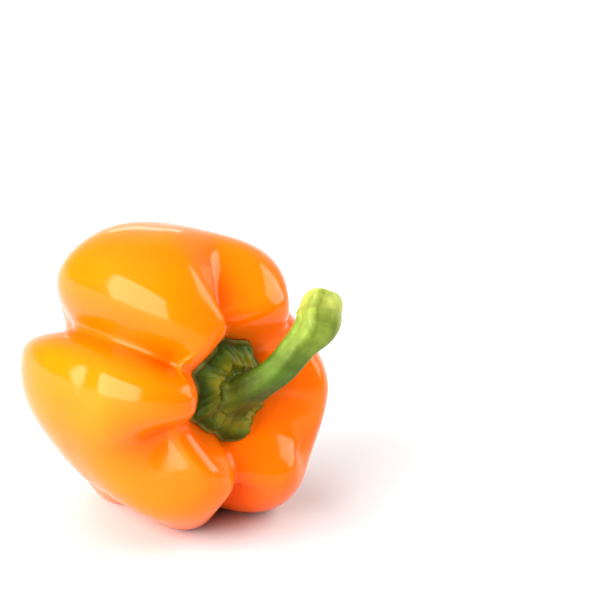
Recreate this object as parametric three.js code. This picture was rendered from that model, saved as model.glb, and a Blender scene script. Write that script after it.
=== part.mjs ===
import * as THREE from 'three';

// Bell pepper lying on its side. Sizes are millimetres, angles are degrees.
// X runs along the fruit's axis to the stem and Z is up.
// Turn is the angle round the axis from +Y to +Z, and slope is the angle
// along a long section from the stem end (0) to the blossom end (180).

// Lobes: turn of the ridge, reach to the stem end, radius at the shoulder,
// radius near the blossom end, reach to the blossom end.
const LOBES = [
  { ridge: 62, front: 42, shoulder: 46.3, rear: 40, back: 38.5 },
  { ridge: 114, front: 39.5, shoulder: 47, rear: 47.5, back: 30.5 },
  { ridge: 172, front: 41.5, shoulder: 44.5, rear: 40.5, back: 38.5 },
  { ridge: 240, front: 43.5, shoulder: 47, rear: 34.5, back: 43.5 },
  { ridge: 297, front: 46.5, shoulder: 52.5, rear: 40, back: 42 },
  { ridge: 348, front: 48, shoulder: 43, rear: 41, back: 42 },
];

// Seams: each lies after the lobe of the same place in the list.
// Turn, drift of the turn over a quarter turn of slope, depth at the shoulder, belly and rear,
// softness of the fold as part of its half width, and power of its side: more is fuller.
const SEAMS = [
  { turn: 94, drift: -36, shoulder: 8.5, belly: 0, rear: 0, soft: 0.3, power: 2.4 },
  { turn: 148, drift: -3, shoulder: 11, belly: 11, rear: 13, soft: 0.2, power: 3.2 },
  { turn: 196, drift: 18, shoulder: 10, belly: 1, rear: 1, soft: 0.5, power: 2.5 },
  { turn: 268, drift: 17, shoulder: 12, belly: 5, rear: 1, soft: 0.15, power: 2.3 },
  { turn: 317, drift: 4, shoulder: 1.5, belly: 0, rear: 1, soft: 0.5, power: 2 },
  { turn: 396, drift: 0, shoulder: 9, belly: 5, rear: 5, soft: 0.3, power: 2 },
];

// Slope at which the seams stop drifting.
const DRIFT_END = 105;

// Power of the superellipse of a long section.
const SECTION_POWER = 2.6;

// Reach to both ends on the axis, where all lobes meet, within this radius.
const AXIS_REACH = { front: 42, back: 41, radius: 10 };

// Hollow round the stem: depth, radius, how much narrower it is at a turn.
const HOLLOW = { depth: 20, radius: 20, narrower: 1.5, turn: 149, power: 3.9 };

// Dimple at the blossom end.
const DIMPLE = { depth: 6, radius: 10 };

// Swells (plus) and dents (minus): turn, slope, half widths, height.
const SWELLS = [
  { turn: 262, slope: 110, wide: 15, long: 20, height: 9.2 },
  { turn: 261, slope: 76, wide: 11, long: 22, height: 3.2 },
  { turn: 262, slope: 93, wide: 16, long: 6, height: -1.9 },
  { turn: 314, slope: 27, wide: 11, long: 9, height: -3 },
  { turn: 167, slope: 80, wide: 14, long: 7, height: -0.8 },
];

// Flat spots that it rests on lie this far below the axis.
const REST = 43.85;

// Columns in a half lobe, and rows from end to end.
const COLUMNS = 6;
const ROWS = 46;

// Calyx: tips of its outline as turn and reach, depth of the notches between,
// gap to the fruit, part of the seams' depth that it follows, thickness at the
// edge, height of the wall inside the edge, where its top would meet the axis.
const CALYX_TIPS = [
  { turn: 18, reach: 13.6 },
  { turn: 62, reach: 15.8 },
  { turn: 104, reach: 16.5 },
  { turn: 146, reach: 15.5 },
  { turn: 190, reach: 15.5 },
  { turn: 226, reach: 14 },
  { turn: 280, reach: 15.3 },
  { turn: 328, reach: 13.6 },
];
const CALYX = { notch: 1, gap: 0.55, follow: 0.7, thick: 1.2, wall: 1.5, centre: 33, ribs: 0.4, rows: 5 };

// Stem: points of its centre line, and radii along it as part of its length.
const STEM_PATH = [
  [26, 0, 0],
  [32.5, -0.3, 1],
  [39, 0.7, 5.2],
  [45.3, 2.9, 10.8],
  [49.8, 6.1, 17.7],
  [52.2, 10.3, 23],
  [51.7, 13.2, 27.6],
];
const STEM_RADII = [
  { part: 0, radius: 8.5 },
  { part: 0.2, radius: 5.2 },
  { part: 0.4, radius: 4.5 },
  { part: 0.65, radius: 4.7 },
  { part: 0.88, radius: 6.6 },
  { part: 1, radius: 6 },
];
const STEM = { ribs: 5, ribHeight: 0.3, rings: 22, blend: 6, cap: 4.8, cut: 0.45, dip: 0.4 };

const rad = (a) => a * Math.PI / 180;

// Value between the ridges round the axis, level at each ridge.
function around(list, place, key, turn) {
  const n = list.length;
  const start = list[0][place];
  const t = start + (((turn - start) % 360) + 360) % 360;
  let i = n - 1;
  while (i > 0 && list[i][place] > t) i -= 1;
  const from = list[i][place];
  const to = i < n - 1 ? list[i + 1][place] : start + 360;
  const w = (1 - Math.cos(Math.PI * (t - from) / (to - from))) / 2;
  return list[i][key] * (1 - w) + list[(i + 1) % n][key] * w;
}

// Value between stations along a length, level at each station.
function along(at, values, x) {
  if (x <= at[0]) return values[0];
  for (let i = 1; i < at.length; i += 1) {
    if (x <= at[i]) {
      const t = (x - at[i - 1]) / (at[i] - at[i - 1]);
      const w = t * t * (3 - 2 * t);
      return values[i - 1] * (1 - w) + values[i] * w;
    }
  }
  return values[values.length - 1];
}

// Point of the long section as [x, radius], before the seams are cut.
function section(turn, slope) {
  const c = Math.cos(rad(slope));
  const s = Math.abs(Math.sin(rad(slope)));
  const blend = 0.5 + 0.5 * Math.sin(Math.PI / 2 * Math.max(-1, Math.min(1, 1.25 * c)));
  const shoulder = around(LOBES, 'ridge', 'shoulder', turn);
  const rear = around(LOBES, 'ridge', 'rear', turn);
  const end = c > 0 ? 'front' : 'back';
  const p = 2 / SECTION_POWER;
  const r = (rear + (shoulder - rear) * blend) * s ** p;
  const own = 1 - Math.exp(-((r / AXIS_REACH.radius) ** 2));
  const reach = AXIS_REACH[end] * (1 - own) + around(LOBES, 'ridge', end, turn) * own;
  let x = Math.sign(c) * Math.abs(c) ** p * reach;
  const hollow = HOLLOW.radius - HOLLOW.narrower * Math.cos(rad(turn - HOLLOW.turn));
  if (c > 0) x -= HOLLOW.depth * Math.exp(-((r / hollow) ** HOLLOW.power));
  if (c < 0) x += DIMPLE.depth * Math.exp(-((r / DIMPLE.radius) ** 2));
  return [x, r];
}

// Depth of the seams. It grows from the ridge of a lobe to the seam as a power of the share.
function seamDepth(turn, slope) {
  for (let j = 0; j < LOBES.length; j += 1) {
    const from = LOBES[j].ridge;
    const to = j < LOBES.length - 1 ? LOBES[j + 1].ridge : LOBES[0].ridge + 360;
    const t = (((turn - from) % 360) + 360) % 360;
    if (t <= to - from) {
      const seam = SEAMS[j];
      const mid = seam.turn + seam.drift * (Math.min(slope, DRIFT_END) - 45) / 90 - from;
      const u = t <= mid ? t / mid : (to - from - t) / (to - from - mid);
      const fold = (Math.hypot(1 - u, seam.soft) - seam.soft) / (Math.hypot(1, seam.soft) - seam.soft);
      const depth = along([0, 12, 40, 90, 135, 180],
        [0, 0.25 * seam.shoulder, seam.shoulder, seam.belly, seam.rear, 0], slope);
      return depth * Math.max(0, 1 - fold) ** seam.power;
    }
  }
  return 0;
}

// Point of the skin.
function skin(turn, slope) {
  const [x, r] = section(turn, slope);
  const [x0, r0] = section(turn, Math.max(slope - 0.4, 0.01));
  const [x1, r1] = section(turn, Math.min(slope + 0.4, 179.99));
  const length = Math.hypot(x1 - x0, r1 - r0) || 1;
  let nx = (r1 - r0) / length;
  let nr = Math.max(0, -(x1 - x0) / length);
  if (slope < 90) nx = Math.max(nx, 0);
  const unit = Math.hypot(nx, nr) || 1;
  nx /= unit;
  nr /= unit;
  let cut = seamDepth(turn, slope);
  for (const s of SWELLS) {
    const a = (((turn - s.turn) % 360) + 540) % 360 - 180;
    cut -= s.height * Math.exp(-((a / s.wide) ** 2) - ((slope - s.slope) / s.long) ** 2);
  }
  const radius = Math.max(r - nr * cut, 0);
  const z = Math.max(radius * Math.sin(rad(turn)), -REST);
  return new THREE.Vector3(x - nx * cut, radius * Math.cos(rad(turn)), z);
}

// Turn of a column: columns run along the ridges and the seams.
function columnTurn(column, slope) {
  const half = Math.floor(column / COLUMNS);
  const j = Math.floor(half / 2);
  const t = (column % COLUMNS) / COLUMNS;
  const seam = SEAMS[j].turn + SEAMS[j].drift * (Math.min(slope, DRIFT_END) - 45) / 90;
  const next = j < LOBES.length - 1 ? LOBES[j + 1].ridge : LOBES[0].ridge + 360;
  if (half % 2 === 0) return LOBES[j].ridge + t * (seam - LOBES[j].ridge);
  return seam + t * (next - seam);
}

// Closed body from rings of points, with a single point at each end.
function closedBody(first, rings, last) {
  const n = rings[0].length;
  const points = [first, ...rings.flat(), last];
  const faces = [];
  for (let i = 0; i < n; i += 1) {
    const k = (i + 1) % n;
    faces.push(0, 1 + i, 1 + k);
    for (let j = 0; j < rings.length - 1; j += 1) {
      const a = 1 + j * n;
      const b = a + n;
      faces.push(a + i, b + i, b + k, a + i, b + k, a + k);
    }
    const a = 1 + (rings.length - 1) * n;
    faces.push(a + i, points.length - 1, a + k);
  }
  const geometry = new THREE.BufferGeometry();
  geometry.setAttribute('position',
    new THREE.Float32BufferAttribute(points.flatMap((p) => [p.x, p.y, p.z]), 3));
  geometry.setIndex(faces);
  geometry.computeVertexNormals();
  return geometry;
}

const columnCount = COLUMNS * 2 * LOBES.length;

// Fruit.
const fruitRings = [];
for (let j = 1; j < ROWS; j += 1) {
  const slope = 180 * j / ROWS;
  const ring = [];
  for (let i = 0; i < columnCount; i += 1) ring.push(skin(columnTurn(i, slope), slope));
  fruitRings.push(ring);
}
const onAxis = (p) => new THREE.Vector3(p.x, 0, 0);
const fruitGeometry = closedBody(onAxis(skin(0, 0.01)), fruitRings, onAxis(skin(0, 179.99)));

// Outline of the calyx: reach at a turn, drawn in between the tips.
function calyxReach(turn) {
  const reach = around(CALYX_TIPS, 'turn', 'reach', turn);
  let near = 360;
  for (const tip of CALYX_TIPS) {
    near = Math.min(near, Math.abs((((turn - tip.turn) % 360) + 540) % 360 - 180));
  }
  return reach - CALYX.notch * Math.sin(Math.min(near / 22, 1) * Math.PI / 2) ** 2;
}

// Point at a height over the hollow, bridging part of the depth of the seams.
function overHollow(column, slope, height) {
  const turn = columnTurn(column, slope);
  const [x, r] = section(turn, slope);
  const [x0, r0] = section(turn, Math.max(slope - 0.4, 0.01));
  const [x1, r1] = section(turn, slope + 0.4);
  const length = Math.hypot(x1 - x0, r1 - r0);
  const nx = (r1 - r0) / length;
  const nr = -(x1 - x0) / length;
  const up = height - CALYX.follow * seamDepth(turn, slope);
  const radius = Math.max(r + nr * up, 0);
  return new THREE.Vector3(x + nx * up, radius * Math.cos(rad(turn)),
    radius * Math.sin(rad(turn)));
}

// Slope at which the hollow has a given radius round the axis.
function slopeAtRadius(column, radius) {
  let low = 0;
  let high = 60;
  for (let i = 0; i < 24; i += 1) {
    const mid = (low + high) / 2;
    if (section(columnTurn(column, mid), mid)[1] < radius) low = mid;
    else high = mid;
  }
  return low;
}

const stemCurve = new THREE.CatmullRomCurve3(
  STEM_PATH.map((p) => new THREE.Vector3(...p)), false, 'catmullrom', 0.5);

// Rings square to the stem's centre line, each starting on the side that is nearest +Y.
function stemRings() {
  const rings = [];
  const parts = STEM_RADII.map((s) => s.part);
  const radii = STEM_RADII.map((s) => s.radius);
  for (let j = 0; j <= STEM.rings; j += 1) {
    const t = j / STEM.rings;
    const centre = stemCurve.getPoint(t);
    const tangent = stemCurve.getTangent(t);
    const side = new THREE.Vector3(0, 1, 0).addScaledVector(tangent, -tangent.y).normalize();
    const up = new THREE.Vector3().crossVectors(tangent, side);
    const ring = [];
    for (let i = 0; i < columnCount; i += 1) {
      const turn = rad(columnTurn(i, 0));
      const r = along(parts, radii, t) + STEM.ribHeight * Math.cos(STEM.ribs * turn);
      ring.push(centre.clone().addScaledVector(side, r * Math.cos(turn))
        .addScaledVector(up, r * Math.sin(turn)));
    }
    rings.push({ centre, tangent, ring });
  }
  return rings;
}

// Stem and calyx: up the underside to the margin, back over the top, up the stem.
const margins = [];
for (let i = 0; i < columnCount; i += 1) {
  margins.push(slopeAtRadius(i, calyxReach(columnTurn(i, 20))));
}
const greenRings = [];
for (let j = 1; j <= CALYX.rows; j += 1) {
  greenRings.push(margins.map((m, i) => overHollow(i, m * j / CALYX.rows, CALYX.gap)));
}
const top = (i, part) => {
  const edge = overHollow(i, margins[i], CALYX.gap + CALYX.thick);
  const rib = CALYX.ribs * Math.cos(rad(8 * columnTurn(i, 20))) * (1 - part);
  const rise = (CALYX.centre - edge.x) * (1 - part) + CALYX.wall * (1 - Math.exp((part - 1) / 0.07));
  return new THREE.Vector3(edge.x + rise + rib, edge.y * part, edge.z * part);
};
greenRings.push(margins.map((m, i) => overHollow(i, m, CALYX.gap + 0.6 * CALYX.thick)));
for (const part of [0.97, 0.88, 0.74, 0.6]) greenRings.push(margins.map((m, i) => top(i, part)));
const sweep = stemRings();
sweep.forEach(({ ring }, j) => {
  if (j === 0) return;
  const w = Math.min(j / STEM.blend, 1);
  const part = 0.6 - 0.25 * w;
  greenRings.push(ring.map((p, i) => (w < 1 ? top(i, part).lerp(p, w * w * (3 - 2 * w)) : p)));
});
const end = sweep[sweep.length - 1];
for (const angle of [30, 60, 85]) {
  const scale = STEM.cut + (1 - STEM.cut) * Math.cos(rad(angle));
  greenRings.push(end.ring.map((p) => end.centre.clone().lerp(p, scale)
    .addScaledVector(end.tangent, STEM.cap * Math.sin(rad(angle)))));
}
greenRings.push(end.ring.map((p) => end.centre.clone().lerp(p, 0.4)
  .addScaledVector(end.tangent, STEM.cap - STEM.dip)));
const stemGeometry = closedBody(
  end.centre.clone().addScaledVector(end.tangent, STEM.cap - STEM.dip),
  greenRings.reverse(),
  onAxis(overHollow(0, 0.01, CALYX.gap)));

const pepper = new THREE.Group();

const fruit = new THREE.Mesh(fruitGeometry, new THREE.MeshStandardMaterial({
  color: 0xff9010, roughness: 0.25, metalness: 0 }));
fruit.name = 'fruit';
pepper.add(fruit);

const stem = new THREE.Mesh(stemGeometry, new THREE.MeshStandardMaterial({
  color: 0x5a8228, roughness: 0.6, metalness: 0 }));
stem.name = 'stem';
pepper.add(stem);

// The origin is under the middle of the whole, on the surface that it lies on.
const box = new THREE.Box3().setFromObject(pepper);
pepper.position.set(-(box.min.x + box.max.x) / 2, -(box.min.y + box.max.y) / 2, REST);

export default pepper;
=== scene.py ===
import math

import bpy
import numpy as np
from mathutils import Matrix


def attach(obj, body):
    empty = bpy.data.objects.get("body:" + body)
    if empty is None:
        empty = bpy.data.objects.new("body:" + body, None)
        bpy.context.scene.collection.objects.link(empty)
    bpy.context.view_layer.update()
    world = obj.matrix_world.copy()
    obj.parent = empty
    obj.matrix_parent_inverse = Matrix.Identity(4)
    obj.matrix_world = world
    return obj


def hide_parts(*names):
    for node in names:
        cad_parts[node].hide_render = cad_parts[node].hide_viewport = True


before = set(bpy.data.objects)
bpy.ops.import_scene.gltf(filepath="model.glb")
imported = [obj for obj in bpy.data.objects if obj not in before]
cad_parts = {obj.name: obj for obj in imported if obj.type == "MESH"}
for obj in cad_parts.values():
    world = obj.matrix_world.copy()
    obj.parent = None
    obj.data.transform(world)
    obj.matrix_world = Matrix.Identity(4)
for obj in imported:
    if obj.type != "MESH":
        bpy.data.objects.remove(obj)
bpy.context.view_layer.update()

# Camera. It stands 0.6 m from the fruit at the height of a low table view, a little to the
# stem's side, and looks past the fruit so that the pepper lies low and left in the picture.
MILLIMETRE = 0.001
FRUIT_CENTRE = np.array([-9.172, 0.306, 43.85]) * MILLIMETRE
CAMERA_TURN, CAMERA_RISE, CAMERA_DISTANCE = 43.0, 17.0, 0.6
CAMERA_LENS, SENSOR_WIDTH, CLIP_START = 120.0, 36.0, 0.01
ASIDE, BELOW = 0.0405, 0.021


def direction(turn, rise):
    """Unit vector to a place that is turned about Z from the -Y side and raised from the floor."""
    a, e = math.radians(turn), math.radians(rise)
    return np.array([math.sin(a) * math.cos(e), -math.cos(a) * math.cos(e), math.sin(e)])


def placed(side, up, away, place):
    """Matrix of a camera or lamp at a place, from its own three axes."""
    matrix = np.eye(4)
    matrix[:3, 0], matrix[:3, 1], matrix[:3, 2] = side, up, away
    matrix[:3, 3] = place
    return matrix.T.tolist()


camera_data = bpy.data.cameras.new("camera")
camera_data.lens = CAMERA_LENS
camera_data.sensor_width = SENSOR_WIDTH
camera_data.clip_start = CLIP_START
camera = bpy.data.objects.new("camera", camera_data)
bpy.context.scene.collection.objects.link(camera)
back = direction(CAMERA_TURN, CAMERA_RISE)
right = np.array([math.cos(math.radians(CAMERA_TURN)), math.sin(math.radians(CAMERA_TURN)), 0.0])
up = np.cross(back, right)
camera_place = FRUIT_CENTRE + back * CAMERA_DISTANCE + right * ASIDE + up * BELOW
camera.matrix_world = placed(right, up, back, camera_place)
bpy.context.scene.camera = camera

# Fruit. One hollow berry of thick crisp flesh under a waxy orange skin: three pairs of lobes
# with soft seams between, a hollow round the stem and a dimple at the blossom end.
# It lies on three small flats under its two lower lobes. Sizes are millimetres.
RIDGES = np.array([62.0, 114.0, 172.0, 240.0, 297.0, 348.0])
FRONT = np.array([42.0, 39.5, 41.5, 43.5, 46.5, 48.0])
SHOULDER = np.array([46.3, 47.0, 44.5, 47.0, 52.5, 43.0])
REAR = np.array([40.0, 47.5, 40.5, 34.5, 40.0, 41.0])
BACK = np.array([38.5, 30.5, 38.5, 43.5, 42.0, 42.0])
SHOULDER_EASE, SECTION_POWER = 1.25, 2.6
SEAM_TURN = np.array([94.0, 148.0, 196.0, 268.0, 317.0, 396.0])
SEAM_DRIFT = np.array([-36.0, -3.0, 18.0, 17.0, 4.0, 0.0])
SEAM_SHOULDER = np.array([8.5, 11.0, 10.0, 12.0, 1.5, 9.0])
SEAM_BELLY = np.array([0.0, 11.0, 1.0, 5.0, 0.0, 5.0])
SEAM_REAR = np.array([0.0, 13.0, 1.0, 1.0, 1.0, 5.0])
SEAM_SOFT = np.array([0.3, 0.2, 0.5, 0.15, 0.5, 0.3])
SEAM_POWER = np.array([2.4, 3.2, 2.5, 2.3, 2.0, 2.0])
SEAM_SLOPES, SEAM_START_SHARE = (0, 12, 40, 90, 135, 180), 0.25
DRIFT_START, DRIFT_SPAN, DRIFT_END = 45.0, 90.0, 105.0
AXIS_FRONT, AXIS_BACK, AXIS_RADIUS = 42.0, 41.0, 10.0
HOLLOW_DEPTH, HOLLOW_RADIUS, HOLLOW_NARROWER, HOLLOW_TURN, HOLLOW_POWER = 20.0, 20.0, 1.5, 149.0, 3.9
DIMPLE_DEPTH, DIMPLE_RADIUS = 6.0, 10.0
# Each swell, or dent where its height is negative, is (turn, slope, width, length, height):
# the first four in degrees, the height in millimetres.
SWELLS = (
    (262.0, 110.0, 15.0, 20.0, 9.2),
    (261.0, 76.0, 11.0, 22.0, 3.2),
    (262.0, 93.0, 16.0, 6.0, -1.9),
    (314.0, 27.0, 11.0, 9.0, -3.0),
    (167.0, 80.0, 14.0, 7.0, -0.8),
)
REST = 43.85
NORMAL_STEP, POLE_SLOPE, TINY = 0.4, 0.01, 1e-9
# Seam depth at which the painted shade in the seams reaches its full deeper orange.
SEAM_SHADE_DEPTH = 22.0
LOBES = len(RIDGES)
HALF_LOBE_COLUMNS, FRUIT_ROWS = 30, 264
NEXT_RIDGES = np.append(RIDGES[1:], RIDGES[0] + 360.0)


def around(stations, values, turn):
    """Value round the axis: a cosine ramp from each station to the next, level at the stations."""
    ends, v = np.append(stations, stations[0] + 360.0), np.append(values, values[0])
    t = stations[0] + (turn - stations[0]) % 360.0
    i = np.clip(np.searchsorted(ends, t, side="right") - 1, 0, len(stations) - 1)
    w = 0.5 - 0.5 * np.cos(np.pi * (t - ends[i]) / (ends[i + 1] - ends[i]))
    return v[i] * (1 - w) + v[i + 1] * w


def along(stations, values, x):
    """Value along a length: a smooth 3t2 - 2t3 step from each station to the next."""
    stations, values = np.asarray(stations, float), np.asarray(values, float)
    i = np.clip(np.searchsorted(stations, x, side="right") - 1, 0, len(stations) - 2)
    t = np.clip((x - stations[i]) / (stations[i + 1] - stations[i]), 0, 1)
    w = t * t * (3 - 2 * t)
    return values[i] * (1 - w) + values[i + 1] * w


def long_section(turn, slope):
    """Superellipse of the long section as (x, radius): the radius eases from shoulder to rear,
    the hollow is taken off the front end and the dimple off the back, as bells round the axis."""
    c, s = np.cos(np.radians(slope)), np.abs(np.sin(np.radians(slope)))
    ease = 0.5 + 0.5 * np.sin(np.pi / 2 * np.clip(SHOULDER_EASE * c, -1, 1))
    shoulder, rear = around(RIDGES, SHOULDER, turn), around(RIDGES, REAR, turn)
    r = (rear + (shoulder - rear) * ease) * s ** (2 / SECTION_POWER)
    own = 1 - np.exp(-((r / AXIS_RADIUS) ** 2))
    front = AXIS_FRONT * (1 - own) + around(RIDGES, FRONT, turn) * own
    rear_reach = AXIS_BACK * (1 - own) + around(RIDGES, BACK, turn) * own
    x = np.sign(c) * np.abs(c) ** (2 / SECTION_POWER) * np.where(c > 0, front, rear_reach)
    hollow = HOLLOW_RADIUS - HOLLOW_NARROWER * np.cos(np.radians(turn - HOLLOW_TURN))
    x = x - np.where(c > 0, HOLLOW_DEPTH * np.exp(-((r / hollow) ** HOLLOW_POWER)), 0)
    x = x + np.where(c < 0, DIMPLE_DEPTH * np.exp(-((r / DIMPLE_RADIUS) ** 2)), 0)
    return x, r


def section_normal(turn, slope):
    """Point of the long section and its outward normal, as (x, radius, normal x, normal radius).
    The normal is square to a short step along the section."""
    x, r = long_section(turn, slope)
    x0, r0 = long_section(turn, np.maximum(slope - NORMAL_STEP, POLE_SLOPE))
    x1, r1 = long_section(turn, np.minimum(slope + NORMAL_STEP, 180 - POLE_SLOPE))
    length = np.hypot(x1 - x0, r1 - r0)
    return x, r, (r1 - r0) / length, -(x1 - x0) / length


def seam_line(j, slope):
    """Turn of a lobe's seam at a slope: it drifts evenly from the front and then stays."""
    return SEAM_TURN[j] + SEAM_DRIFT[j] * (np.minimum(slope, DRIFT_END) - DRIFT_START) / DRIFT_SPAN


def seam_share(turn, slope):
    """How far from its ridge to its seam a place lies, softened at the seam, and its lobe's number."""
    t = RIDGES[0] + (turn - RIDGES[0]) % 360.0
    j = np.clip(np.searchsorted(RIDGES, t, side="right") - 1, 0, LOBES - 1)
    seam = seam_line(j, slope)
    before, after = (t - RIDGES[j]) / (seam - RIDGES[j]), (NEXT_RIDGES[j] - t) / (NEXT_RIDGES[j] - seam)
    u = np.where(t <= seam, before, after)
    soft = SEAM_SOFT[j]
    return np.clip(1 - (np.hypot(1 - u, soft) - soft) / (np.hypot(1, soft) - soft), 0, 1), j


def seam_depth(turn, slope):
    """Depth of the seams: the seam's depth at this slope times a power of the share."""
    share, j = seam_share(turn, slope)
    depth = np.zeros(np.broadcast(turn, slope).shape)
    for k in range(LOBES):
        start = SEAM_START_SHARE * SEAM_SHOULDER[k]
        depths = (0, start, SEAM_SHOULDER[k], SEAM_BELLY[k], SEAM_REAR[k], 0)
        depth = np.where(j == k, along(SEAM_SLOPES, depths, slope), depth)
    return depth * share ** SEAM_POWER[j]


def skin(turn, slope):
    """Point of the skin: the long section, moved in along its normal by the seams and out by
    the swells, carried round the axis, and pressed flat where it lies on the table."""
    x, r, nx, nr = section_normal(turn, slope)
    nr = np.maximum(0, nr)
    nx = np.where(slope < 90, np.maximum(nx, 0), nx)
    unit = np.hypot(nx, nr) + TINY
    nx, nr = nx / unit, nr / unit
    cut = seam_depth(turn, slope)
    for swell_turn, swell_slope, wide, long, height in SWELLS:
        a = (turn - swell_turn + 180.0) % 360.0 - 180.0
        cut = cut - height * np.exp(-((a / wide) ** 2) - ((slope - swell_slope) / long) ** 2)
    radius = np.maximum(r - nr * cut, 0)
    z = np.maximum(radius * np.sin(np.radians(turn)), -REST)
    return np.stack([x - nx * cut, radius * np.cos(np.radians(turn)), z], -1)


def column_turn(column, slope):
    """Turn of a column of the grid: columns are spaced evenly from each ridge to its seam."""
    half = (column // HALF_LOBE_COLUMNS).astype(int)
    j, t = half // 2, (column % HALF_LOBE_COLUMNS) / HALF_LOBE_COLUMNS
    seam = seam_line(j, slope)
    to_seam, from_seam = RIDGES[j] + t * (seam - RIDGES[j]), seam + t * (NEXT_RIDGES[j] - seam)
    return np.where(half % 2 == 0, to_seam, from_seam)


def on_axis(point):
    """The same point moved square onto the fruit's axis, where a surface closes."""
    return point * (1, 0, 0)


def to_part(points):
    """Millimetres round the fruit's axis to metres in the part's own frame."""
    return points * MILLIMETRE + FRUIT_CENTRE


def closed_mesh(name, first, rings, last, attributes=()):
    """Mesh of a closed body: a point, rings of points from it to the far end, and a point.
    Quads join ring to ring and triangles close both ends. Attributes are (name, ring values,
    value at the first point, value at the last)."""
    rows, columns = rings.shape[:2]
    points = np.concatenate([np.reshape(first, (1, 3)), rings.reshape(-1, 3), np.reshape(last, (1, 3))])
    a = 1 + np.arange(rows - 1)[:, None] * columns + np.arange(columns)[None]
    b = 1 + np.arange(rows - 1)[:, None] * columns + (np.arange(columns)[None] + 1) % columns
    quads = np.stack([a, a + columns, b + columns, b], -1).reshape(-1, 4)
    i, k = np.arange(columns), (np.arange(columns) + 1) % columns
    top = np.stack([np.zeros_like(i), 1 + i, 1 + k], -1)
    base = 1 + (rows - 1) * columns
    bottom = np.stack([base + i, np.full_like(i, len(points) - 1), base + k], -1)
    mesh = bpy.data.meshes.new(name)
    mesh.from_pydata(points.tolist(), [], quads.tolist() + top.tolist() + bottom.tolist())
    for attribute, values, start, end in attributes:
        layer = mesh.attributes.new(attribute, "FLOAT", "POINT")
        layer.data.foreach_set("value", np.concatenate([[start], values.ravel(), [end]]).astype(np.float32))
    mesh.polygons.foreach_set("use_smooth", np.ones(len(mesh.polygons), bool))
    mesh.update()
    body = bpy.data.objects.new(name, mesh)
    bpy.context.scene.collection.objects.link(body)
    return body


columns = np.arange(2 * LOBES * HALF_LOBE_COLUMNS)
slopes = 180.0 * np.arange(1, FRUIT_ROWS) / FRUIT_ROWS
column_grid, slope_grid = np.meshgrid(columns, slopes)
turn_grid = column_turn(column_grid, slope_grid)
skin_points = skin(turn_grid, slope_grid)
front_pole = on_axis(skin(np.array([0.0]), np.array([POLE_SLOPE]))[0])
back_pole = on_axis(skin(np.array([0.0]), np.array([180 - POLE_SLOPE]))[0])
# Share of each seam's full depth, kept on the mesh for the painted shade in the seams.
painted_seam_shade = seam_depth(turn_grid, slope_grid) / SEAM_SHADE_DEPTH
fruit = closed_mesh("pepper_fruit", to_part(front_pole), to_part(skin_points), to_part(back_pole),
                    [("seam", painted_seam_shade, 0, 0)])

# Waxy pepper skin: a thin, smooth, hard cuticle over juicy orange flesh that light enters a
# few millimetres deep. It gives a clear gloss and a warm glow in thin shade, with faint pits of
# about 1 mm and a slow waviness. The seams get painted shade, a deeper orange. Sizes are millimetres.
PATCH_SIZE, WAVE_SIZE, FLECK_SIZE, PIT_SIZE = 28.6, 11.1, 1.43, 1.0
# Where a mix node that mixes colours has its two colour inputs and its colour output.
MIX_A, MIX_B, MIX_RESULT = 6, 7, 2


def colour(code):
    """An sRGB hex colour turned to linear, with alpha 1."""
    c = np.array([int(code[i:i + 2], 16) for i in (1, 3, 5)]) / 255
    linear = np.where(c <= 0.04045, c / 12.92, ((c + 0.055) / 1.055) ** 2.4)
    return (*linear.tolist(), 1.0)


def node(tree, kind, links=(), stops=(), **settings):
    """Add a node, set its inputs (in_NAME or in_NUMBER), its own settings and, for a colour ramp,
    its (place, hex colour) stops, and link (output, input) pairs."""
    made = tree.nodes.new("ShaderNode" + kind)
    for key, value in settings.items():
        if key.startswith("in_"):
            name = key[3:].replace("_", " ")
            made.inputs[int(name) if name.isdigit() else name].default_value = value
        else:
            setattr(made, key, value)
    if stops:
        elements = made.color_ramp.elements
        while len(elements) < len(stops):
            elements.new(0.5)
        for element, (place, code) in zip(elements, stops):
            element.position, element.color = place, colour(code)
    for output, name in links:
        tree.links.new(output, made.inputs[name])
    return made


def surface(name):
    """A new material: itself, its node tree, its shader and the object's own coordinates."""
    material = bpy.data.materials.new(name)
    material.use_nodes = True
    tree = material.node_tree
    return material, tree, tree.nodes["Principled BSDF"], node(tree, "TexCoord").outputs["Object"]


def per_metre(size):
    """Scale of a pattern whose features are a size in millimetres, on coordinates in metres."""
    return 1 / (size * MILLIMETRE)


skin_material, tree, shader, place = surface("waxy_pepper_skin")
seam_shade_value = node(tree, "Attribute", attribute_name="seam").outputs["Fac"]
patches = node(tree, "TexNoise", [(place, "Vector")], in_Scale=per_metre(PATCH_SIZE), in_Detail=2.0)
flesh = node(tree, "ValToRGB", [(patches.outputs["Fac"], "Fac")], [(0.3, "#FF6600"), (0.7, "#FF7000")])
# Painted shade: the skin's colour is mixed toward a deeper orange as deep as the seam is.
seam_shade_colour = node(tree, "Mix", [(seam_shade_value, "Factor"), (flesh.outputs["Color"], MIX_A)], data_type="RGBA")
seam_shade_colour.inputs[MIX_B].default_value = colour("#F64600")
flecks = node(tree, "TexNoise", [(place, "Vector")], in_Scale=per_metre(FLECK_SIZE), in_Detail=1.0)
fleck_colour = node(tree, "ValToRGB", [(flecks.outputs["Fac"], "Fac")], [
    (0.6, "#FFFFFF"), (0.85, "#FFF8F0")])
tinted = node(tree, "Mix", [
    (seam_shade_colour.outputs[MIX_RESULT], MIX_A),
    (fleck_colour.outputs["Color"], MIX_B),
], data_type="RGBA", blend_type="MULTIPLY", in_Factor=1.0)
tree.links.new(tinted.outputs[MIX_RESULT], shader.inputs["Base Color"])
shader.inputs["Roughness"].default_value = 0.13
shader.inputs["IOR"].default_value = 1.40
shader.inputs["Specular Tint"].default_value = colour("#FFE4BC")
shader.inputs["Subsurface Weight"].default_value = 0.2
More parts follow.
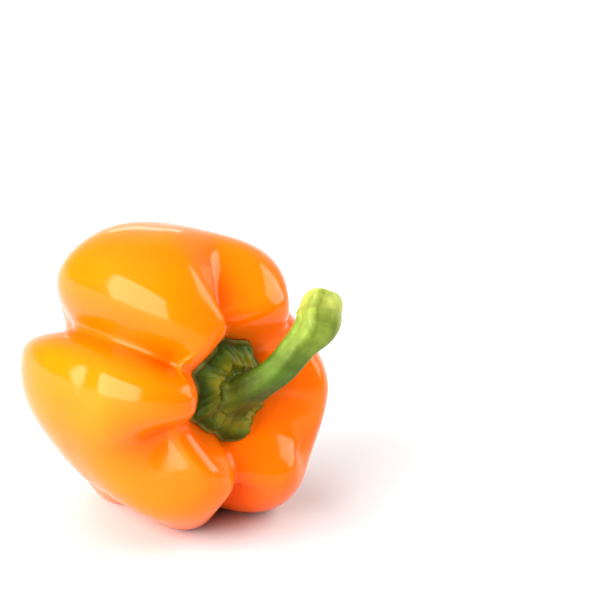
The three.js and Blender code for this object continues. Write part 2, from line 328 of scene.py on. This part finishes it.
shader.inputs["Subsurface Radius"].default_value = (1.0, 0.4, 0.08)
shader.inputs["Subsurface Scale"].default_value = 0.004
waves = node(tree, "TexNoise", [(place, "Vector")], in_Scale=per_metre(WAVE_SIZE), in_Detail=1.0)
pits = node(tree, "TexNoise", [(place, "Vector")], in_Scale=per_metre(PIT_SIZE), in_Detail=2.0)
wave_bump = node(tree, "Bump", [(waves.outputs["Fac"], "Height")], in_Strength=0.25, in_Distance=0.0006)
pit_bump = node(tree, "Bump", [(pits.outputs["Fac"], "Height"), (wave_bump.outputs["Normal"], "Normal")],
                in_Strength=0.06, in_Distance=0.0001)
tree.links.new(pit_bump.outputs["Normal"], shader.inputs["Normal"])
fruit.data.materials.append(skin_material)
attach(fruit, "root")
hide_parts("fruit")

# Stem and calyx. One green grown body: a collar of fused sepals with eight short tips that lies
# in the hollow, and a ribbed stalk that leaves it along the axis, bends up and swells to a club,
# where it was cut from the plant. It keeps a hair's gap to the skin. Sizes are millimetres.
TIP_TURNS = np.array([18.0, 62.0, 104.0, 146.0, 190.0, 226.0, 280.0, 328.0])
TIP_REACH = np.array([13.6, 15.8, 16.5, 15.5, 15.5, 14.0, 15.3, 13.6])
NOTCH_DEPTH, NOTCH_HALF_TURN = 1.0, 22.0
CALYX_GAP, CALYX_THICK, CALYX_WALL, CALYX_CENTRE, CALYX_FOLLOW = 0.25, 1.2, 1.5, 33.0, 0.8
WALL_PART, SMOOTH_PART = 0.07, 0.06
CALYX_RIB, WRINKLE, FINE_WRINKLE = 0.4, 0.3, 0.16
WRINKLE_TURNS, CROSS_TURNS, FINE_TURNS = 11, 5, 29
WRINKLE_RUN, CROSS_RUN, FINE_RUN, CROSS_START = 9, 16, 20, 1
STEM_PATH = np.array([
    [26.0, 0.0, 0.0],
    [32.5, -0.3, 1.0],
    [39.0, 0.7, 5.2],
    [45.3, 2.9, 10.8],
    [49.8, 6.1, 17.7],
    [52.2, 10.3, 23.0],
    [51.7, 13.2, 27.6],
])
STEM_PARTS = (0.0, 0.2, 0.4, 0.65, 0.88, 1.0)
STEM_RADII = (8.5, 5.2, 4.5, 4.7, 6.6, 6.0)
STEM_RIBS, RIB_HEIGHT, RIB_TWIST = 5, 0.25, 1.5
CUT_RADIUS_PART, CAP_LENGTH, CUT_DIP = 0.45, 4.8, 0.4
HALVINGS, SLOPE_LIMIT = 24, 60.0
STEM_COLUMNS = 288
UNDER_ROWS, UNDER_START, MARGIN_SLOPE, MARGIN_SHARE = 14, 0.08, 1.01, 0.5
COLLAR_ROWS, COLLAR_START, COLLAR_INNER, COLLAR_CROWDING = 40, 0.1, 0.6, 1.5
STALK_ROWS, STALK_START, BLEND_PART, BLEND_SLIDE = 110, 0.01, 0.27, 0.25
CAP_ROWS, CAP_FIRST, CAP_LAST = 14, 6, 78
FACE_ROWS, FACE_FIRST, FACE_LAST = 8, 0.43, 0.08


def calyx_reach(turn):
    """Outline of the calyx: the tips' reach eased round the axis, less a notch between two tips
    that grows as the square of the sine of the distance from the nearer tip."""
    near = np.abs((turn[:, None] - TIP_TURNS + 180) % 360 - 180).min(-1)
    notch = NOTCH_DEPTH * np.sin(np.minimum(near / NOTCH_HALF_TURN, 1) * np.pi / 2) ** 2
    return around(TIP_TURNS, TIP_REACH, turn) - notch


def slope_at(turn, radius):
    """Slope at which the long section has a given radius, found by halving the interval."""
    low, high = np.zeros_like(turn), np.full_like(turn, SLOPE_LIMIT)
    for _ in range(HALVINGS):
        mid = (low + high) / 2
        inside = long_section(turn, mid)[1] < radius
        low, high = np.where(inside, mid, low), np.where(inside, high, mid)
    return low


def over_hollow(turn, slope, height):
    """Point at a height over the skin of the hollow, along the long section's normal."""
    x, r, nx, nr = section_normal(turn, slope)
    lift = height - CALYX_FOLLOW * seam_depth(turn, slope)
    radius, a = np.maximum(r + nr * lift, 0), np.radians(turn)
    return np.stack([x + nx * lift, radius * np.cos(a), radius * np.sin(a)], -1)


def stem_line(part):
    """Centre line of the stalk: a smooth curve through the path's points, and its direction."""
    p = np.vstack([2 * STEM_PATH[0] - STEM_PATH[1], STEM_PATH, 2 * STEM_PATH[-1] - STEM_PATH[-2]])
    s = np.clip(part, 0, 1) * (len(STEM_PATH) - 1)
    i = np.minimum(s.astype(int), len(STEM_PATH) - 2)
    t = (s - i)[..., None]
    a, b, c, d = p[i], p[i + 1], p[i + 2], p[i + 3]
    place = b + 0.5 * t * (c - a + t * (2 * a - 5 * b + 4 * c - d + t * (3 * (b - c) + d - a)))
    run = 0.5 * (c - a + 2 * t * (2 * a - 5 * b + 4 * c - d) + 3 * t * t * (3 * (b - c) + d - a))
    return place, run / np.linalg.norm(run, axis=-1, keepdims=True)


def stalk(turn, part, scale, out):
    """Point of the stalk: a circle square to the centre line with low ribs, scaled and moved
    on along the line for the rounded cut end."""
    place, run = stem_line(part)
    side = np.array([0.0, 1.0, 0.0]) - run * run[..., 1:2]
    side = side / np.linalg.norm(side, axis=-1, keepdims=True)
    rise = np.cross(run, side)
    a = np.radians(turn)
    r = along(STEM_PARTS, STEM_RADII, part) + RIB_HEIGHT * np.cos(STEM_RIBS * a + RIB_TWIST * part)
    r = (r * scale)[..., None]
    return place + run * out[..., None] + side * r * np.cos(a)[..., None] + rise * r * np.sin(a)[..., None]


def calyx_top(turn, edge, part):
    """Upper face of the calyx from its edge (part 1) to the axis (part 0): a short wall that
    rises as 1 - exp, then a straight slope to the centre, with ribs to the tips and wrinkles
    that are products of sines."""
    rim = over_hollow(turn, edge, CALYX_GAP + CALYX_THICK)
    a, inner = np.radians(turn), 1 - part
    ribs = CALYX_RIB * np.cos(len(TIP_TURNS) * a) * inner
    crossing = np.sin(CROSS_TURNS * a - CROSS_RUN * inner + CROSS_START)
    wrinkles = WRINKLE * np.sin(WRINKLE_TURNS * a + WRINKLE_RUN * inner) * crossing
    wrinkles = wrinkles + FINE_WRINKLE * np.sin(FINE_TURNS * a + FINE_RUN * inner)
    rise = (CALYX_CENTRE - rim[..., 0]) * inner + CALYX_WALL * (1 - np.exp(-inner / WALL_PART))
    x = rim[..., 0] + rise + ribs + wrinkles * np.minimum(inner / SMOOTH_PART, 1)
    return np.stack([x, rim[..., 1] * part, rim[..., 2] * part], -1)


def round_stem(values):
    """One value for each ring, repeated round the stem's columns."""
    return np.reshape(values, (-1, 1)) * np.ones((1, STEM_COLUMNS))


# The rings run from the axis under the calyx out to its edge, back over its upper face, up the
# stalk, whose foot grows out of that face, round the club's end and in over the cut.
stem_turns = 360.0 * np.arange(STEM_COLUMNS) / STEM_COLUMNS
edge_slope = slope_at(stem_turns, calyx_reach(stem_turns))
under_slope = edge_slope * round_stem(np.linspace(UNDER_START, 1.0, UNDER_ROWS))
under = over_hollow(stem_turns[None], under_slope, CALYX_GAP)
margin_height = CALYX_GAP + MARGIN_SHARE * CALYX_THICK
margin = over_hollow(stem_turns[None], edge_slope[None] * MARGIN_SLOPE, margin_height)
collar_run = np.linspace(COLLAR_START, 1.0, COLLAR_ROWS) ** COLLAR_CROWDING
collar_parts = 1 - (1 - COLLAR_INNER) * collar_run
collar = calyx_top(stem_turns[None], edge_slope[None], collar_parts[:, None])

stalk_parts = round_stem(np.linspace(STALK_START, 1.0, STALK_ROWS))
stalk_turns = stem_turns[None] * np.ones((STALK_ROWS, 1))
joined = along((0, BLEND_PART), (0, 1), stalk_parts)[..., None]
free_stalk = stalk(stalk_turns, stalk_parts, np.ones_like(stalk_parts), np.zeros_like(stalk_parts))
collar_slide = COLLAR_INNER - BLEND_SLIDE * np.minimum(stalk_parts / BLEND_PART, 1)
stalk_rings = calyx_top(stalk_turns, edge_slope[None], collar_slide) * (1 - joined) + free_stalk * joined

cap_angle = np.radians(round_stem(np.linspace(CAP_FIRST, CAP_LAST, CAP_ROWS)))
cap_scale = CUT_RADIUS_PART + (1 - CUT_RADIUS_PART) * np.cos(cap_angle)
cap = stalk(stem_turns[None], np.ones_like(cap_scale), cap_scale, CAP_LENGTH * np.sin(cap_angle))
face_scale = round_stem(np.linspace(FACE_FIRST, FACE_LAST, FACE_ROWS))
face_out = np.full_like(face_scale, CAP_LENGTH - CUT_DIP)
face = stalk(stem_turns[None], np.ones_like(face_scale), face_scale, face_out)
stem_rings = np.concatenate([under, margin, collar, stalk_rings, cap, face])[::-1]

# Values for the colours: how far along the stalk, how far out on the calyx, and the turn.
END_ROWS = CAP_ROWS + FACE_ROWS
along_stalk = [np.zeros(UNDER_ROWS + 1 + COLLAR_ROWS), stalk_parts[:, 0], np.ones(END_ROWS)]
out_on_calyx = [np.ones(UNDER_ROWS + 1), collar_parts, np.full(STALK_ROWS, COLLAR_INNER), np.zeros(END_ROWS)]
part_values = round_stem(np.concatenate(along_stalk)[::-1])
edge_values = round_stem(np.concatenate(out_on_calyx)[::-1])
round_x_values = np.cos(np.radians(stem_turns)) * np.ones_like(part_values)
round_y_values = np.sin(np.radians(stem_turns)) * np.ones_like(part_values)
end_place, end_run = stem_line(np.array([1.0]))
club_end = end_place[0] + end_run[0] * (CAP_LENGTH - CUT_DIP)
under_centre = on_axis(over_hollow(np.array([0.0]), np.array([POLE_SLOPE]), CALYX_GAP)[0])
stem = closed_mesh("pepper_stem", to_part(club_end), to_part(stem_rings), to_part(under_centre), [
    ("part", part_values, 1, 0),
    ("edge", edge_values, 0, 1),
    ("round_x", round_x_values, 0, 0),
    ("round_y", round_y_values, 0, 0),
])

# Fresh stalk green: smooth, slightly waxy plant skin over fibre. It is pale yellow-green at
# the club, mid green along the bend and dark where it meets the calyx, with fine lengthwise
# streaks of about 1.5 mm. The calyx is dark, dull and wrinkled; its thin paler edge is a painted highlight.
STREAK_SIZE, BLOTCH_SIZE, CREASE_SIZE = 1.5, 6.25, 2.38
STALK_RADIUS, STREAK_LENGTH = STEM_RADII[2], 0.4
green_material, tree, shader, place = surface("pepper_stalk_green")
part_value = node(tree, "Attribute", attribute_name="part").outputs["Fac"]
edge_value = node(tree, "Attribute", attribute_name="edge").outputs["Fac"]
round_x_value = node(tree, "Attribute", attribute_name="round_x").outputs["Fac"]
round_y_value = node(tree, "Attribute", attribute_name="round_y").outputs["Fac"]
length_value = node(tree, "Math", [(part_value, 0)], operation="MULTIPLY", in_1=STREAK_LENGTH).outputs[0]
unrolled = node(tree, "CombineXYZ", [(round_x_value, "X"), (round_y_value, "Y"), (length_value, "Z")])
streaks = node(tree, "TexNoise", [(unrolled.outputs[0], "Vector")],
               in_Scale=STALK_RADIUS / STREAK_SIZE, in_Detail=3.0)
blotches = node(tree, "TexNoise", [(place, "Vector")], in_Scale=per_metre(BLOTCH_SIZE), in_Detail=3.0)
length_colour = node(tree, "ValToRGB", [(part_value, "Fac")], [
    (0.1, "#5A6010"), (0.3, "#46581A"), (0.5, "#4A6818"), (0.75, "#7C9034"), (1.0, "#B2B85A")])
# The last stop, a pale edge on the calyx's rim, is a painted highlight.
calyx_colour = node(tree, "ValToRGB", [(edge_value, "Fac")], [
    (0.6, "#867A12"), (0.76, "#66700C"), (0.9, "#38580C"), (0.985, "#3E5814"), (1.0, "#98A058")])
collar_part = node(tree, "ValToRGB", [(part_value, "Fac")], [(0.02, "#FFFFFF"), (0.14, "#000000")])
grown_colour = node(tree, "Mix", [
    (collar_part.outputs["Color"], "Factor"),
    (length_colour.outputs["Color"], MIX_A),
    (calyx_colour.outputs["Color"], MIX_B),
], data_type="RGBA")
streak_colour = node(tree, "ValToRGB", [(streaks.outputs["Fac"], "Fac")], [
    (0.3, "#C8D090"), (0.65, "#FFFFFF")])
streaked = node(tree, "Mix", [
    (grown_colour.outputs[MIX_RESULT], MIX_A),
    (streak_colour.outputs["Color"], MIX_B),
], data_type="RGBA", blend_type="MULTIPLY", in_Factor=0.8)
blotch_colour = node(tree, "ValToRGB", [(blotches.outputs["Fac"], "Fac")], [
    (0.35, "#8A9860"), (0.6, "#FFFFFF")])
blotched = node(tree, "Mix", [
    (streaked.outputs[MIX_RESULT], MIX_A),
    (blotch_colour.outputs["Color"], MIX_B),
], data_type="RGBA", blend_type="MULTIPLY", in_Factor=0.7)
tree.links.new(blotched.outputs[MIX_RESULT], shader.inputs["Base Color"])
shader.inputs["Roughness"].default_value = 0.45
shader.inputs["IOR"].default_value = 1.38
shader.inputs["Specular Tint"].default_value = colour("#F0F4B0")
shader.inputs["Subsurface Weight"].default_value = 0.1
shader.inputs["Subsurface Radius"].default_value = (0.5, 1.0, 0.2)
shader.inputs["Subsurface Scale"].default_value = 0.001
streak_bump = node(tree, "Bump", [(streaks.outputs["Fac"], "Height")], in_Strength=0.15, in_Distance=0.0004)
creases = node(tree, "TexNoise", [(place, "Vector")], in_Scale=per_metre(CREASE_SIZE), in_Detail=4.0)
crease_bump = node(tree, "Bump", [
    (creases.outputs["Fac"], "Height"),
    (streak_bump.outputs["Normal"], "Normal"),
], in_Strength=0.5, in_Distance=0.0005)
tree.links.new(crease_bump.outputs["Normal"], shader.inputs["Normal"])
stem.data.materials.append(green_material)
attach(stem, "root")
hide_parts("stem")

# Cut face of the stem. Where the stalk was cut from the plant its fibre has dried to a tan,
# slightly sunken oval. It is a thin skin that closes the club's end: its upper side sinks
# toward the middle as the cube of the distance from the rim. Sizes are millimetres.
CUT_THICK, CUT_ROWS, CUT_SHARE, CUT_BOWL, CUT_PROUD = 0.3, 10, 0.98, 4, 0.05
DISC_FIRST, DISC_UNDER = 0.06, 0.98


def disc_parts(rows):
    """Shares of a thin disc's radius: out over its upper side, then back in underneath."""
    return np.concatenate([np.linspace(DISC_FIRST, 1.0, rows), np.linspace(DISC_UNDER, DISC_FIRST, rows)])


def thin_disc(name, rings):
    """Closed mesh of a thin disc, whose ends are the middles of its first and last ring."""
    return closed_mesh(name, to_part(rings[0].mean(0)), to_part(rings), to_part(rings[-1].mean(0)))


cut_scale = round_stem(disc_parts(CUT_ROWS) * (CUT_RADIUS_PART * CUT_SHARE))
bowl = CUT_BOWL * np.linspace(-CUT_DIP, 0, CUT_ROWS) ** 3 + CUT_PROUD
cut_out = round_stem(CAP_LENGTH + np.concatenate([bowl, np.full(CUT_ROWS, -CUT_THICK)]))
cut_face = thin_disc("stem_cut_face", stalk(stem_turns[None], np.ones_like(cut_scale), cut_scale, cut_out))

# Dried cut fibre: pale tan and dull, with darker pores. The pores are drawn about 0.6 mm apart,
# coarser than real ones, so that they show.
PORE_SIZE = 0.625
cork, tree, shader, place = surface("dried_cut_fibre")
pores = node(tree, "TexNoise", [(place, "Vector")], in_Scale=per_metre(PORE_SIZE), in_Detail=3.0)
cork_colour = node(tree, "ValToRGB", [(pores.outputs["Fac"], "Fac")], [
    (0.35, "#6E5A38"), (0.5, "#B59A68"), (0.75, "#D8C495")])
tree.links.new(cork_colour.outputs["Color"], shader.inputs["Base Color"])
cork_bump = node(tree, "Bump", [(pores.outputs["Fac"], "Height")], in_Strength=0.6, in_Distance=0.0002)
tree.links.new(cork_bump.outputs["Normal"], shader.inputs["Normal"])
shader.inputs["Roughness"].default_value = 0.85
cut_face.data.materials.append(cork)
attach(cut_face, "root")

# Blossom scar. The dry brown spot that the flower left in the dimple at the far end, a thin
# corky lens with an uneven edge that lies on the flesh. Sizes are millimetres.
SCAR_RADIUS, SCAR_THICK, SCAR_SUNK, SCAR_UNDER, SCAR_POWER = 2.4, 0.3, 0.2, 0.1, 4
SCAR_ROWS, SCAR_COLUMNS = 12, 96
SCAR_WAVE, SCAR_WAVES, SCAR_RIPPLE, SCAR_RIPPLES, RIPPLE_START = 0.12, 3, 0.07, 8, 40


def scar_point(turn, part, height):
    """Point of the scar: a radius that waves slowly and ripples round the edge, on the bell of
    the dimple, with a height over the flesh."""
    wave = SCAR_WAVE * np.sin(np.radians(SCAR_WAVES * turn))
    ripple = SCAR_RIPPLE * np.sin(np.radians(SCAR_RIPPLES * turn + RIPPLE_START))
    radius = SCAR_RADIUS * part * (1 + wave + ripple)
    flesh_x = -AXIS_BACK + DIMPLE_DEPTH * np.exp(-((radius / DIMPLE_RADIUS) ** 2))
    a = np.radians(turn)
    return np.stack([flesh_x - height, radius * np.cos(a), radius * np.sin(a)], -1)


scar_turns = 360.0 * np.arange(SCAR_COLUMNS) / SCAR_COLUMNS
scar_parts = disc_parts(SCAR_ROWS)
scar_top = SCAR_THICK * (1 - scar_parts[:SCAR_ROWS] ** SCAR_POWER) - SCAR_SUNK
scar_height = np.concatenate([scar_top, np.full(SCAR_ROWS, -SCAR_SUNK - SCAR_UNDER)])
scar = thin_disc("blossom_scar", scar_point(scar_turns[None], scar_parts[:, None], scar_height[:, None]))

# Brown corky skin: dull, dry and grainy, nearly black in its pores. The grain is drawn about
# 0.7 mm wide, coarser than the real one, so that it shows.
GRAIN_SIZE = 0.667
scar_material, tree, shader, place = surface("brown_corky_scar")
grains = node(tree, "TexNoise", [(place, "Vector")], in_Scale=per_metre(GRAIN_SIZE), in_Detail=3.0)
scar_colour = node(tree, "ValToRGB", [(grains.outputs["Fac"], "Fac")], [
    (0.35, "#3A2412"), (0.65, "#7A5226")])
tree.links.new(scar_colour.outputs["Color"], shader.inputs["Base Color"])
scar_bump = node(tree, "Bump", [(grains.outputs["Fac"], "Height")], in_Strength=0.6, in_Distance=0.0002)
tree.links.new(scar_bump.outputs["Normal"], shader.inputs["Normal"])
shader.inputs["Roughness"].default_value = 0.9
scar.data.materials.append(scar_material)
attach(scar, "root")

# Stage. A plain white table top that curves up behind the fruit, so that its far part faces the
# lights and stays as white as the near part. Sizes are metres.
FLOOR_HALF, FLOOR_RISE, FLOOR_BACK, FLOOR_BEND = 3.0, 2.65, 0.35, 1.2
FLOOR_STEPS, FLOOR_COLUMNS = 120, 3


def backdrop(across, along_part):
    """Sheet across the view: flat from the front, then a quarter turn, then straight up."""
    run = along_part * (FLOOR_HALF + FLOOR_BACK + FLOOR_RISE) - FLOOR_HALF
    bend = np.clip((run - FLOOR_BACK) / FLOOR_BEND, 0, np.pi / 2)
    flat = np.minimum(run, FLOOR_BACK) + FLOOR_BEND * np.sin(bend)
    rise = FLOOR_BEND * (1 - np.cos(bend)) + np.maximum(run - FLOOR_BACK - FLOOR_BEND * np.pi / 2, 0)
    side = (across - 0.5) * 2 * FLOOR_HALF
    level = back[:2] / math.hypot(back[0], back[1])
    return np.stack([side * right[0] - flat * level[0], side * right[1] - flat * level[1], rise], -1)


grid_across, grid_along = np.meshgrid(np.linspace(0, 1, FLOOR_COLUMNS), np.linspace(0, 1, FLOOR_STEPS + 1))
sheet_points = backdrop(grid_across, grid_along).reshape(-1, 3)
corner = (np.arange(FLOOR_STEPS)[:, None] * FLOOR_COLUMNS + np.arange(FLOOR_COLUMNS - 1)[None]).ravel()
sheet_quads = np.stack([corner, corner + 1, corner + FLOOR_COLUMNS + 1, corner + FLOOR_COLUMNS], -1)
floor_mesh = bpy.data.meshes.new("floor")
floor_mesh.from_pydata(sheet_points.tolist(), [], sheet_quads.tolist())
floor_mesh.polygons.foreach_set("use_smooth", np.ones(len(floor_mesh.polygons), bool))
floor = bpy.data.objects.new("floor", floor_mesh)
bpy.context.scene.collection.objects.link(floor)
paper = bpy.data.materials.new("white_paper")
paper.use_nodes = True
paper_shader = paper.node_tree.nodes["Principled BSDF"]
paper_shader.inputs["Base Color"].default_value = colour("#CACACA")
paper_shader.inputs["Roughness"].default_value = 0.6
floor_mesh.materials.append(paper)

# Light. An even white room, a large soft light at the left front, a weaker one at the right
# back, a narrow strip behind that edges the top lobe, and one above that leaves no highlight.
ROOM_STRENGTH = 0.2
world = bpy.data.worlds.new("studio")
bpy.context.scene.world = world
world.use_nodes = True
world.node_tree.nodes["Background"].inputs["Color"].default_value = (1, 1, 1, 1)
world.node_tree.nodes["Background"].inputs["Strength"].default_value = ROOM_STRENGTH


def softbox(name, turn, rise, width, height, power, distance=1.2):
    """A soft light that stands at a turn and rise round the fruit and faces it. Sizes are metres
    and the power is in watts."""
    light = bpy.data.lights.new(name, "AREA")
    light.shape, light.size, light.size_y, light.energy = "RECTANGLE", width, height, power
    lamp = bpy.data.objects.new(name, light)
    away = direction(turn, rise)
    side = np.cross((0.0, 0.0, 1.0), away)
    side = side / np.linalg.norm(side)
    lamp.matrix_world = placed(side, np.cross(away, side), away, FRUIT_CENTRE + away * distance)
    bpy.context.scene.collection.objects.link(lamp)
    return lamp


softbox("softbox_left", turn=-5.0, rise=20.0, width=1.55, height=1.25, power=54.0)
softbox("softbox_right", turn=142.0, rise=32.0, width=1.0, height=1.0, power=17.0)
softbox("softbox_rim", turn=-131.0, rise=23.0, width=0.45, height=0.16, power=0.5)
softbox_top = softbox("softbox_top", turn=-60.0, rise=62.0, width=1.2, height=1.2, power=16.0)
softbox_top.visible_glossy = False
bpy.context.scene.view_settings.view_transform = "Standard"
